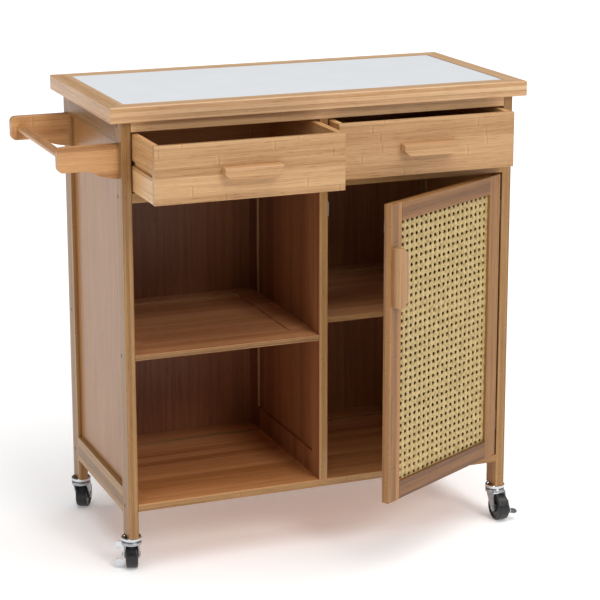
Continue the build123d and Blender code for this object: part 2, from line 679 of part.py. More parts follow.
# ---------------------------------------------------------------- casters
def caster_plane(name):
    """Plane at a leg's foot on the floor, with X pointing from the stem to the wheel."""
    side, y = LEGS[name]
    heading = radians(CASTER_HEADING[name])
    centre = (side * (X_IN + X_OUT) / 2, sum(y) / 2, 0)
    return Plane(origin=centre, x_dir=(cos(heading), sin(heading), 0), z_dir=(0, 0, 1))


def make_stems():
    """Fixed upper part of each caster: threaded stem, dished cup and kingpin."""
    with BuildPart() as stems:
        for name in LEGS:
            foot = caster_plane(name)
            with BuildSketch(Plane(origin=foot.origin, x_dir=foot.x_dir, z_dir=-foot.y_dir)):
                with BuildLine():
                    Polyline(
                        (0, CROWN[0] - 2.6), (6, CROWN[0] - 2.6), (6, CROWN[0] - 0.5),
                        (STEM_R, CROWN[0] - 0.5),
                        (STEM_R, CUP_Z), (CUP_R - 2, CUP_Z), (CUP_R, CUP_Z + 2), (CUP_R, CUP_Z + 6.4),
                        (CUP_R - 1.2, CUP_Z + 7.6), (CUP_R - 2.6, CUP_Z + 7.2), (CUP_R - 3.8, CUP_Z + 4.2),
                        (STEM_R + 4, CUP_Z + 4.2), (STEM_R + 4, LEG_FOOT), (STEM_R, LEG_FOOT),
                        (STEM_R, LEG_FOOT + STEM_UP), (0, LEG_FOOT + STEM_UP), close=True,
                    )
                make_face()
            revolve(axis=Axis(foot.origin, (0, 0, 1)))
    finish(stems, "caster_stems")


def make_fork(name):
    """Stamped fork: round crown, two side plates and the riveted axle."""
    foot = caster_plane(name)
    reach = AXLE_SPAN + (BRAKE_GAP + BRAKE_T + 1.8 if name in BRAKED else RIVET_T)
    with BuildPart() as fork:
        with BuildSketch(foot.offset(CROWN[0])):
            Circle(CROWN_R)
        extrude(amount=CROWN[1] - CROWN[0])
        fillet(fork.edges().sort_by(Axis.Z)[-1], 3.0)
        for side in (-1, 1):
            outer = side * AXLE_SPAN
            plate = Plane(
                origin=foot.from_local_coords(Vector(0, outer, 0)), x_dir=foot.x_dir, z_dir=-foot.y_dir,
            )
            with BuildSketch(plate):
                with Locations((TRAIL, WHEEL_R)):
                    Circle(7.5)
                with Locations((sum(FORK_SHOULDER) / 2, CROWN[0] + 1)):
                    Rectangle(FORK_SHOULDER[1] - FORK_SHOULDER[0], 2)
                make_hull()
            extrude(amount=side * FORK_PLATE)
        block(FORK_SHOULDER, (-AXLE_SPAN, AXLE_SPAN), (CROWN[0], CROWN[0] + 2), plane=foot)
        axle = Plane(
            origin=foot.from_local_coords(Vector(TRAIL, -AXLE_SPAN - RIVET_T, WHEEL_R)),
            x_dir=foot.x_dir, z_dir=foot.y_dir,
        )
        with BuildSketch(axle):
            Circle(AXLE_R)
        extrude(amount=AXLE_SPAN + RIVET_T + reach)
        with BuildSketch(axle, axle.offset(AXLE_SPAN + reach)):
            Circle(AXLE_R + 1.8)
        extrude(amount=RIVET_T)
        with BuildSketch(foot.offset(CROWN[0])):
            Circle(STEM_R + RUNNING_FIT)
        extrude(amount=CROWN[1] - CROWN[0], mode=Mode.SUBTRACT)
    finish(fork, f"caster_fork_{name}")


def make_wheel(name):
    """Wheel with a rounded tread, dished sides and a hub that rides on the axle."""
    foot = caster_plane(name)
    axle = Plane(
        origin=foot.from_local_coords(Vector(TRAIL, 0, WHEEL_R)), x_dir=foot.y_dir,
        z_dir=foot.y_dir.cross(Vector(0, 0, 1)),
    )
    half, hub = WHEEL_W / 2, WHEEL_HUB_W / 2
    with BuildPart() as wheel:
        with BuildSketch(axle) as section:
            with BuildLine():
                Polyline(
                    (-hub, AXLE_R + RUNNING_FIT), (-hub, WHEEL_HUB_R),
                    (-half + WHEEL_DISH, WHEEL_HUB_R + 1),
                    (-half + WHEEL_DISH, WHEEL_DISH_R), (-half, WHEEL_DISH_R + 1), (-half, WHEEL_R),
                    (half, WHEEL_R), (half, WHEEL_DISH_R + 1), (half - WHEEL_DISH, WHEEL_DISH_R),
                    (half - WHEEL_DISH, WHEEL_HUB_R + 1), (hub, WHEEL_HUB_R), (hub, AXLE_R + RUNNING_FIT),
                    close=True,
                )
            make_face()
            fillet(section.vertices().group_by(Axis.Y)[-1], 3.0)
        revolve(axis=Axis(axle.origin, axle.x_dir))
    finish(wheel, f"caster_wheel_{name}")


def make_brake(name):
    """Rocker beside the wheel: a flat web on the axle, bent out into a round pedal at each end."""
    foot = caster_plane(name)
    tilt = radians(BRAKE_TILT[name])
    up = foot.z_dir * cos(tilt) + foot.x_dir * sin(tilt)
    axle = foot.from_local_coords(Vector(TRAIL, AXLE_SPAN + BRAKE_GAP, WHEEL_R))
    web = Plane(origin=axle, x_dir=up, z_dir=foot.y_dir)
    bend = up.cross(foot.y_dir)
    pedals = Plane(origin=axle + bend * (BRAKE_WEB / 2 - BRAKE_T), x_dir=up, z_dir=bend)
    low, high = BRAKE_ENDS
    with BuildPart() as lever:
        with BuildSketch(web):
            with Locations(((low + high) / 2, 0)):
                SlotOverall(high - low + BRAKE_WEB, BRAKE_WEB)
            Circle(AXLE_R + RUNNING_FIT, mode=Mode.SUBTRACT)
        extrude(amount=BRAKE_T)
        with BuildSketch(pedals):
            with Locations((low, PEDAL_OUT), (high, PEDAL_OUT)):
                Circle(PEDAL_R)
        extrude(amount=BRAKE_T)
    finish(lever, f"brake_lever_{name}")


# ---------------------------------------------------------------- build
make_worktop()
for leg_name in LEGS:
    make_leg(leg_name)
for side_name in SIDES:
    make_side(side_name)
make_rails()
make_back()
make_bottom()
make_divider()
make_shelf("shelf_left", -1, (Y_FRONT, BACK_IN), LEFT_SHELF_Z, tongues=True)
make_shelf(
    "shelf_right", 1, (Y_FRONT + RIGHT_SHELF_SETBACK, BACK_IN - RIGHT_SHELF_GAP), RIGHT_SHELF_Z,
    tongues=False, gap=RIGHT_SHELF_GAP,
)
make_fixings()
make_towel_rail()
for drawer_name in DRAWERS:
    make_drawer(drawer_name)
make_door()
make_hinges()
make_stems()
for caster_name in LEGS:
    make_fork(caster_name)
    make_wheel(caster_name)
for caster_name in BRAKED:
    make_brake(caster_name)
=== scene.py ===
"""Bamboo kitchen trolley: finishes, woven cane, small fittings, floor, lights and camera."""
import json
import logging
import math
from dataclasses import dataclass, field
from enum import Enum
from typing import Any

import bmesh
import bpy
from mathutils import Matrix, Vector


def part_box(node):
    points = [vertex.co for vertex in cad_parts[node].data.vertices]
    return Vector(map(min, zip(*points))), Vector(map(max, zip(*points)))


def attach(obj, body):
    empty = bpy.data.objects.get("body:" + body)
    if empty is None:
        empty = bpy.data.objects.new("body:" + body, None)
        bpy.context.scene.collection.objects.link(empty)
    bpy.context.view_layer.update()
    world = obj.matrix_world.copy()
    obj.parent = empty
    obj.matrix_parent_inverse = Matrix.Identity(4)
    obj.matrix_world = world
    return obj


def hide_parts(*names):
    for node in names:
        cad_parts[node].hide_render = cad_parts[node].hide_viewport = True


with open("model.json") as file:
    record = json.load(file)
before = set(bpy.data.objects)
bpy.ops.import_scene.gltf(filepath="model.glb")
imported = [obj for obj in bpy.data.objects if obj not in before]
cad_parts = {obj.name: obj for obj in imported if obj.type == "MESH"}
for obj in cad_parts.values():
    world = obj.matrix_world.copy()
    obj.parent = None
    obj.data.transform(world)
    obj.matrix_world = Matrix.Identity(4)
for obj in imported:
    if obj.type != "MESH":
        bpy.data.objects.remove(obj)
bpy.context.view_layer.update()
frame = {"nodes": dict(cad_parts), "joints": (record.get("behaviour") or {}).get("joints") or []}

LOG = logging.getLogger("trolley")
MM = 0.001


# ------------------------------------------------------------------ tools
def linear(colour: str) -> tuple[float, float, float, float]:
    """Turn an sRGB hex colour into linear RGBA.

    Args:
        colour: Six hex digits after a hash sign.

    Returns:
        Linear red, green, blue and an alpha of one.
    """
    parts = [int(colour[i : i + 2], 16) / 255 for i in (1, 3, 5)]
    red, green, blue = (c / 12.92 if c <= 0.04045 else ((c + 0.055) / 1.055) ** 2.4 for c in parts)
    return red, green, blue, 1.0


def add_node(
    tree: bpy.types.NodeTree,
    kind: str,
    settings: dict[str, Any] | None = None,
    inputs: dict[Any, Any] | None = None,
) -> bpy.types.Node:
    """Add a shader node with its settings and links.

    Args:
        tree: Node tree that takes the node.
        kind: Blender's name of the node type.
        settings: Options set on the node itself; "stops" fills a colour ramp.
        inputs: Values or output sockets, by the input's name or number.

    Returns:
        The new node.
    """
    node = tree.nodes.new(kind)
    for name, value in (settings or {}).items():
        if name == "stops":
            ramp = node.color_ramp
            while len(ramp.elements) < len(value):
                ramp.elements.new(0.5)
            for element, (place, colour) in zip(ramp.elements, value):
                element.position = place
                element.color = colour
        else:
            setattr(node, name, value)
    for key, value in (inputs or {}).items():
        if isinstance(value, bpy.types.NodeSocket):
            tree.links.new(value, node.inputs[key])
        else:
            node.inputs[key].default_value = value
    return node


def new_material(name: str) -> tuple[bpy.types.Material, bpy.types.NodeTree]:
    """Make a material with an empty node tree.

    Args:
        name: The material's name.

    Returns:
        The material and its node tree.
    """
    material = bpy.data.materials.new(name)
    material.use_nodes = True
    material.node_tree.nodes.clear()
    return material, material.node_tree


def grey(level: float) -> tuple[float, float, float, float]:
    """Give a ramp stop that has the same level in every channel."""
    return level, level, level, 1.0


def dress(node: str, material: bpy.types.Material) -> None:
    """Put one material on a CAD node, in place of whatever it came with.

    Args:
        node: CAD node's name.
        material: The material.
    """
    mesh = frame["nodes"][node].data
    mesh.materials.clear()
    mesh.materials.append(material)


def finish_piece(
    shape: bmesh.types.BMesh, name: str, material: bpy.types.Material, body: str
) -> bpy.types.Object:
    """Turn a bmesh into a piece that rides on a CAD body.

    Args:
        shape: The finished shape, in place in the row frame; it is freed.
        name: The object's name.
        material: Its only material.
        body: The CAD body it rides on.

    Returns:
        The new object.
    """
    mesh = bpy.data.meshes.new(name)
    shape.to_mesh(mesh)
    shape.free()
    mesh.materials.append(material)
    piece = bpy.data.objects.new(name, mesh)
    bpy.context.scene.collection.objects.link(piece)
    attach(piece, body)
    LOG.info("%s: %d faces on %s", name, len(mesh.polygons), body)
    return piece


# ------------------------------------------------------------------ how a board lies
class Way(Enum):
    """Row axes, by their place in a vector."""

    X = 0
    Y = 1
    Z = 2


@dataclass(frozen=True)
class Lie:
    """Directions of a board's grain, width and thickness, and its turn about Z in radians."""

    along: Way
    across: Way
    through: Way
    turn: float = 0.0

    def corner(self, node: str) -> Vector:
        """Find the low corner of a node's box in the board's own, unturned directions.

        Args:
            node: CAD node's name.

        Returns:
            The corner in millimetres.
        """
        unturn = Matrix.Rotation(-self.turn, 3, "Z")
        places = [unturn @ vertex.co for vertex in frame["nodes"][node].data.vertices]
        return Vector([min(place[i] for place in places) for i in range(3)]) / MM


# ------------------------------------------------------------------ finishes
@dataclass(frozen=True)
class LacqueredBamboo:
    """Strand-sawn, side-pressed bamboo under clear lacquer.

    Strips glued side by side give each board bands of slightly different honey tones, long
    straight fibres, and short pale and dark bars where the cane had its nodes. The lacquer gives
    a soft gloss.
    """

    pale: str = "#D3AD7B"
    body: str = "#BE9265"
    deep: str = "#996E3E"
    strip_mm: float = 20.0
    layer_mm: float = 6.0
    first_strip: float = 0.31     # offset of the glue lines from the board's corner, in strips
    first_layer: float = 0.27     # the same through the board, in layers
    layer_shift: float = 0.43     # offset of each layer's strips from the next layer's, in strips
    seed_shift: float = 0.37      # further offset of the strips, for each whole of the seed's fraction
    slide_mm: float = 900.0       # most that a strip's figure is slid lengthwise
    fibre_mm: float = 2.4         # real fibres are finer; this is as fine as the render can show
    fibre_long_mm: float = 140.0
    band_mm: float = 11.0         # broad, slow bands of tone
    band_long_mm: float = 520.0
    fleck_mm: float = 1.9
    fleck_long_mm: float = 26.0
    flecked: float = 0.17         # how far a fleck darkens the tone
    node_gap_mm: float = 210.0
    node_wave_mm: float = 9.0     # how strongly the fibres' noise bends a node bar
    tone_spread: float = 0.36
    barred: float = 0.38          # share of the strips that show their node bars
    roughness: float = 0.42
    shine: float = 0.38
    lacquer: float = 0.14
    lacquer_roughness: float = 0.24

    def material(self, name: str, node: str, lie: Lie, seed: float) -> bpy.types.Material:
        """Build the board's material.

        Args:
            name: The material's name.
            node: CAD node that it starts from the corner of.
            lie: How the board lies.
            seed: Number that sets this board's strips apart from the others'.

        Returns:
            The material.
        """
        material, tree = new_material(name)
        corner = lie.corner(node)
        place = add_node(tree, "ShaderNodeTexCoord")
        board = add_node(
            tree, "ShaderNodeMapping", None,
            {
                "Vector": place.outputs["Object"],
                "Location": -corner,
                "Rotation": (0.0, 0.0, -lie.turn),
                "Scale": (1 / MM, 1 / MM, 1 / MM),
            },
        )
        axes = add_node(tree, "ShaderNodeSeparateXYZ", None, {0: board.outputs[0]})
        along, across, through = (axes.outputs[way.value] for way in (lie.along, lie.across, lie.through))

        # Which strip, counted across the board and through its layers
        ply = add_node(
            tree, "ShaderNodeMath", {"operation": "MULTIPLY_ADD"},
            {0: through, 1: 1 / self.layer_mm, 2: self.first_layer},
        )
        layer = add_node(tree, "ShaderNodeMath", {"operation": "FLOOR"}, {0: ply.outputs[0]})
        stagger = add_node(
            tree, "ShaderNodeMath", {"operation": "MULTIPLY_ADD"},
            {0: layer.outputs[0], 1: self.layer_shift, 2: self.first_strip + self.seed_shift * (seed % 1)},
        )
        course = add_node(
            tree, "ShaderNodeMath", {"operation": "MULTIPLY_ADD"},
            {0: across, 1: 1 / self.strip_mm, 2: stagger.outputs[0]},
        )
        strip = add_node(tree, "ShaderNodeMath", {"operation": "FLOOR"}, {0: course.outputs[0]})
        cell = add_node(
            tree, "ShaderNodeCombineXYZ", None, {0: strip.outputs[0], 1: layer.outputs[0], 2: seed}
        )
        chance = add_node(
            tree, "ShaderNodeTexWhiteNoise", {"noise_dimensions": "3D"}, {"Vector": cell.outputs[0]}
        )
        draw = add_node(tree, "ShaderNodeSeparateColor", None, {0: chance.outputs["Color"]})

        # Long fibres, each strip slid by its own length
        slid = add_node(
            tree, "ShaderNodeMath", {"operation": "MULTIPLY_ADD"},
            {0: draw.outputs[0], 1: self.slide_mm, 2: along},
        )
        strand = add_node(tree, "ShaderNodeCombineXYZ", None, {0: slid.outputs[0], 1: across, 2: through})
        fine = add_node(
            tree, "ShaderNodeVectorMath", {"operation": "MULTIPLY"},
            {0: strand.outputs[0], 1: (1 / self.fibre_long_mm, 1 / self.fibre_mm, 1 / self.fibre_mm)},
        )
        fibre = add_node(
            tree, "ShaderNodeTexNoise", {"noise_dimensions": "3D"},
            {"Vector": fine.outputs[0], "Scale": 1.0, "Detail": 3.0, "Roughness": 0.6},
        )
        wide = add_node(
            tree, "ShaderNodeVectorMath", {"operation": "MULTIPLY"},
            {0: strand.outputs[0], 1: (1 / self.band_long_mm, 1 / self.band_mm, 1 / self.band_mm)},
        )
        cloud = add_node(
            tree, "ShaderNodeTexNoise", {"noise_dimensions": "3D"},
            {"Vector": wide.outputs[0], "Scale": 1.0, "Detail": 2.0, "Roughness": 0.5},
        )

        # Short dark flecks where a fibre bundle was cut
        short = add_node(
            tree, "ShaderNodeVectorMath", {"operation": "MULTIPLY"},
            {0: strand.outputs[0], 1: (1 / self.fleck_long_mm, 1 / self.fleck_mm, 1 / self.fleck_mm)},
        )
        fleck = add_node(
            tree, "ShaderNodeTexNoise", {"noise_dimensions": "3D"},
            {"Vector": short.outputs[0], "Scale": 1.0, "Detail": 2.0, "Roughness": 0.55},
        )
        speck = add_node(
            tree, "ShaderNodeMapRange", None,
            {0: fleck.outputs["Fac"], 1: 0.54, 2: 0.72, 3: 0.0, 4: -self.flecked},
        )

        # Tone: fibres, broad bands, flecks and the strip's own shade
        mixed = add_node(
            tree, "ShaderNodeMix", {"data_type": "FLOAT"},
            {0: 0.45, 2: fibre.outputs["Fac"], 3: cloud.outputs["Fac"]},
        )
        shade = add_node(
            tree, "ShaderNodeMath", {"operation": "MULTIPLY_ADD"},
            {0: chance.outputs["Value"], 1: self.tone_spread, 2: -self.tone_spread / 2},
        )
        flecked = add_node(
            tree, "ShaderNodeMath", {"operation": "ADD"}, {0: mixed.outputs[0], 1: speck.outputs[0]}
        )
        tone = add_node(
            tree, "ShaderNodeMath", {"operation": "ADD"}, {0: flecked.outputs[0], 1: shade.outputs[0]}
        )
        colour = add_node(
            tree, "ShaderNodeValToRGB",
            {"stops": [(0.24, linear(self.deep)), (0.5, linear(self.body)), (0.78, linear(self.pale))]},
            {0: tone.outputs[0]},
        )

        # Node bars: a thin dark line between two pale ones, slightly wavy, on some strips only
        wave = add_node(
            tree, "ShaderNodeMath", {"operation": "MULTIPLY_ADD"},
            {0: fibre.outputs["Fac"], 1: self.node_wave_mm, 2: slid.outputs[0]},
        )
        turn = add_node(
            tree, "ShaderNodeMath", {"operation": "MULTIPLY_ADD"},
            {0: wave.outputs[0], 1: 1 / self.node_gap_mm, 2: draw.outputs[1]},
        )
        phase = add_node(tree, "ShaderNodeMath", {"operation": "FRACT"}, {0: turn.outputs[0]})
        bar = add_node(
            tree, "ShaderNodeValToRGB",
            {
                "stops": [
                    (0.470, grey(0.5)), (0.484, grey(0.60)), (0.492, grey(0.56)), (0.499, grey(0.26)),
                    (0.506, grey(0.42)), (0.516, grey(0.56)), (0.535, grey(0.5)),
                ]
            },
            {0: phase.outputs[0]},
        )
        marked = add_node(
            tree, "ShaderNodeMath", {"operation": "GREATER_THAN"}, {0: draw.outputs[2], 1: 1 - self.barred}
        )
        shown = add_node(
            tree, "ShaderNodeMath", {"operation": "MULTIPLY"}, {0: marked.outputs[0], 1: 0.55}
        )
        knuckle = add_node(
            tree, "ShaderNodeMix", {"data_type": "RGBA", "blend_type": "OVERLAY"},
            {0: shown.outputs[0], 6: colour.outputs[0], 7: bar.outputs[0]},
        )

        # Glue lines between strips
        edge = add_node(tree, "ShaderNodeMath", {"operation": "FRACT"}, {0: course.outputs[0]})
        line = add_node(
            tree, "ShaderNodeValToRGB",
            {"stops": [(0.0, grey(0.70)), (0.035, grey(1.0)), (0.965, grey(1.0)), (1.0, grey(0.80))]},
            {0: edge.outputs[0]},
        )
        glued = add_node(
            tree, "ShaderNodeMix", {"data_type": "RGBA", "blend_type": "MULTIPLY"},
            {0: 0.5, 6: knuckle.outputs[2], 7: line.outputs[0]},
        )

        sheen = add_node(
            tree, "ShaderNodeMapRange", None,
            {0: fibre.outputs["Fac"], 1: 0.3, 2: 0.7, 3: self.roughness + 0.06, 4: self.roughness - 0.05},
        )
        relief = add_node(
            tree, "ShaderNodeBump", None,
            {"Strength": 0.35, "Distance": 0.12 * MM, "Height": fibre.outputs["Fac"]},
        )
        shader = add_node(
            tree, "ShaderNodeBsdfPrincipled", None,
            {
                "Base Color": glued.outputs[2],
                "Roughness": sheen.outputs[0],
                "IOR": 1.5,
                "Specular IOR Level": self.shine,
                "Coat Weight": self.lacquer,
                "Coat Roughness": self.lacquer_roughness,
                "Normal": relief.outputs[0],
            },
        )
        add_node(tree, "ShaderNodeOutputMaterial", None, {0: shader.outputs[0]})
        return material


@dataclass(frozen=True)
class WhiteSheet:
    """Smooth white laminate: cool white, almost even, with a painted shadow line round its edge for the
    shaded gap where it meets the rim.
    """

    white: str = "#F4F7FA"
    shade: str = "#F1F4F7"
    painted_gap_shadow: str = "#6E5A45"
    line_mm: float = 1.3      # the real shaded gap is thinner; this is as thin as the render can show
    roughness: float = 0.28

    def material(self, node: str) -> bpy.types.Material:
        """Build the sheet's material, with its painted shadow line placed from the node's box.

        Args:
            node: CAD node's name.

        Returns:
            The material.
        """
        material, tree = new_material("white_laminate")
        low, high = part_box(node)
        middle, half = (low + high) / 2, (high - low) / 2
        place = add_node(tree, "ShaderNodeTexCoord")
        centred = add_node(
            tree, "ShaderNodeMapping", None, {"Vector": place.outputs["Object"], "Location": -middle}
        )
        folded = add_node(tree, "ShaderNodeVectorMath", {"operation": "ABSOLUTE"}, {0: centred.outputs[0]})
        inset = add_node(
            tree, "ShaderNodeVectorMath", {"operation": "SUBTRACT"},
            {0: folded.outputs[0], 1: half - Vector((1, 1, 0)) * self.line_mm * MM + Vector((0, 0, 1))},
        )
        sides = add_node(tree, "ShaderNodeSeparateXYZ", None, {0: inset.outputs[0]})
        nearest = add_node(
            tree, "ShaderNodeMath", {"operation": "MAXIMUM"}, {0: sides.outputs[0], 1: sides.outputs[1]}
        )
        # Painted shadow: mask of a dark line along the sheet's edges, where the gap to the rim lies in
        # shade
        rim = add_node(
            tree, "ShaderNodeMapRange", None,
            {0: nearest.outputs[0], 1: -0.2 * MM, 2: 0.3 * MM, 3: 0.0, 4: 1.0},
        )
        mottle = add_node(
            tree, "ShaderNodeTexNoise", None,
            {"Vector": place.outputs["Object"], "Scale": 1 / (60 * MM), "Detail": 2.0},
        )
        tone = add_node(
            tree, "ShaderNodeValToRGB",
            {"stops": [(0.3, linear(self.shade)), (0.7, linear(self.white))]}, {0: mottle.outputs["Fac"]},
        )
        # The painted shadow line's dark colour goes over the white
        colour = add_node(
            tree, "ShaderNodeMix", {"data_type": "RGBA"},
            {0: rim.outputs[0], 6: tone.outputs[0], 7: linear(self.painted_gap_shadow)},
        )
        grain = add_node(
            tree, "ShaderNodeTexNoise", None,
            {"Vector": place.outputs["Object"], "Scale": 1 / (3 * MM), "Detail": 1.0},
        )
        relief = add_node(
            tree, "ShaderNodeBump", None,
            {"Strength": 0.08, "Distance": 0.05 * MM, "Height": grain.outputs["Fac"]},
        )
        shader = add_node(
            tree, "ShaderNodeBsdfPrincipled", None,
            {
                "Base Color": colour.outputs[2],
                "Roughness": self.roughness,
                "IOR": 1.49,
                "Normal": relief.outputs[0],
            },
        )
        add_node(tree, "ShaderNodeOutputMaterial", None, {0: shader.outputs[0]})
        return material


@dataclass(frozen=True)
class Rattan:
    """Peeled rattan cane, split flat: straw yellow, a dull natural gloss, in small patches of deeper amber.
    """

    straw: str = "#CDB47C"
    amber: str = "#9C824A"
    roughness: float = 0.48
    patch_mm: float = 7.0

    def material(self) -> bpy.types.Material:
        """Build the cane's material.

        Returns:
            The material.
        """
        material, tree = new_material("rattan_cane")
        place = add_node(tree, "ShaderNodeTexCoord")
        patches = add_node(
            tree, "ShaderNodeTexNoise", None,
            {
                "Vector": place.outputs["Object"],
                "Scale": 1 / (self.patch_mm * MM),
                "Detail": 3.0,
                "Roughness": 0.6,
            },
        )
        tone = add_node(
            tree, "ShaderNodeValToRGB",
            {"stops": [(0.28, linear(self.amber)), (0.62, linear(self.straw))]},
            {0: patches.outputs["Fac"]},
        )
        relief = add_node(
            tree, "ShaderNodeBump", None,
            {"Strength": 0.3, "Distance": 0.1 * MM, "Height": patches.outputs["Fac"]},
        )
        shader = add_node(
            tree, "ShaderNodeBsdfPrincipled", None,
            {
                "Base Color": tone.outputs[0],
                "Roughness": self.roughness,
                "IOR": 1.5,
                "Normal": relief.outputs[0],
            },
        )
        add_node(tree, "ShaderNodeOutputMaterial", None, {0: shader.outputs[0]})
        return material


@dataclass(frozen=True)
class Metal:
    """Plated or coated steel; the scratch size and the swing in gloss tell one from another."""

    name: str
    colour: str
    dull: str
    roughness: float
    swing: float
    scratch_mm: float
    metallic: float = 1.0

    def material(self) -> bpy.types.Material:
        """Build the metal's material.

        Returns:
            The material.
        """
        material, tree = new_material(self.name)
        place = add_node(tree, "ShaderNodeTexCoord")
        smear = add_node(
            tree, "ShaderNodeTexNoise", None,
            {
                "Vector": place.outputs["Object"],
                "Scale": 1 / (self.scratch_mm * MM),
                "Detail": 4.0,
                "Roughness": 0.65,
            },
        )
        tone = add_node(
            tree, "ShaderNodeValToRGB",
            {"stops": [(0.3, linear(self.dull)), (0.65, linear(self.colour))]}, {0: smear.outputs["Fac"]},
        )
        gloss = add_node(
            tree, "ShaderNodeMapRange", None,
            {
                0: smear.outputs["Fac"], 1: 0.3, 2: 0.7,
                3: self.roughness + self.swing, 4: max(self.roughness - self.swing, 0.02),
            },
        )
        shader = add_node(
            tree, "ShaderNodeBsdfPrincipled", None,
            {"Base Color": tone.outputs[0], "Metallic": self.metallic, "Roughness": gloss.outputs[0]},
        )
        add_node(tree, "ShaderNodeOutputMaterial", None, {0: shader.outputs[0]})
        return material


@dataclass(frozen=True)
class BlackNylon:
    """Moulded black nylon: near black, a satin skin with fine flow marks and a little floor dust."""

    black: str = "#070708"
    dust: str = "#1B1B1C"
    roughness: float = 0.30

    def material(self) -> bpy.types.Material:
        """Build the nylon's material.

        Returns:
            The material.
        """
        material, tree = new_material("black_nylon")
        place = add_node(tree, "ShaderNodeTexCoord")
        marks = add_node(
            tree, "ShaderNodeTexNoise", None,
            {"Vector": place.outputs["Object"], "Scale": 1 / (4 * MM), "Detail": 4.0, "Roughness": 0.6},
        )
        tone = add_node(
            tree, "ShaderNodeValToRGB",
            {"stops": [(0.4, linear(self.black)), (0.85, linear(self.dust))]}, {0: marks.outputs["Fac"]},
        )
        gloss = add_node(
            tree, "ShaderNodeMapRange", None,
            {0: marks.outputs["Fac"], 1: 0.3, 2: 0.7, 3: self.roughness - 0.06, 4: self.roughness + 0.12},
        )
        shader = add_node(
            tree, "ShaderNodeBsdfPrincipled", None,
            {"Base Color": tone.outputs[0], "Roughness": gloss.outputs[0], "IOR": 1.53},
        )
        add_node(tree, "ShaderNodeOutputMaterial", None, {0: shader.outputs[0]})
        return material


# ------------------------------------------------------------------ sub-assemblies
UPRIGHT_SIDE = Lie(Way.Z, Way.Y, Way.X)      # upright board, broad face to the side
UPRIGHT_FRONT = Lie(Way.Z, Way.X, Way.Y)     # upright board, broad face to the front
CROSSWISE_FLAT = Lie(Way.X, Way.Y, Way.Z)    # level board, grain along the width
CROSSWISE_EDGE = Lie(Way.X, Way.Z, Way.Y)    # board on edge, grain along the width
DEEP_FLAT = Lie(Way.Y, Way.X, Way.Z)         # level board, grain front to back
DEEP_EDGE = Lie(Way.Y, Way.Z, Way.X)         # board on edge, grain front to back


@dataclass
class Worktop:
    """White laminate sheet in a rim of four mitred bamboo battens."""

    bamboo: LacqueredBamboo = LacqueredBamboo(
        pale="#E2BF94", body="#D2A577", deep="#B0824F", strip_mm=32.0, layer_mm=7.0, tone_spread=0.28,
        lacquer=0.3,
    )
    laminate: WhiteSheet = WhiteSheet()

    def build(self) -> None:
        """Dress the top's three nodes."""
        board = self.bamboo.material("bamboo_worktop_board", "worktop_board", CROSSWISE_FLAT, 1.2)
        dress("worktop_board", board)
        dress("worktop_inlay", self.laminate.material("worktop_inlay"))
        rim = frame["nodes"]["worktop_rim"].data
        rim.materials.clear()
        rim.materials.append(self.bamboo.material("bamboo_rim_long", "worktop_rim", CROSSWISE_FLAT, 2.7))
        rim.materials.append(self.bamboo.material("bamboo_rim_short", "worktop_rim", DEEP_FLAT, 3.4))
        self.mitre(rim)
        LOG.info("worktop dressed")

    def mitre(self, rim: bpy.types.Mesh) -> None:
        """Give the end battens the second material, by which side of the mitre a face is on.

        Args:
            rim: Mesh of all four battens.
        """
        low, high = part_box("worktop_rim")
        for face in rim.polygons:
            x, y, _ = face.center
            in_from_end = min(x - low.x, high.x - x)
            in_from_front = min(y - low.y, high.y - y)
            face.material_index = 1 if in_from_end < in_from_front else 0


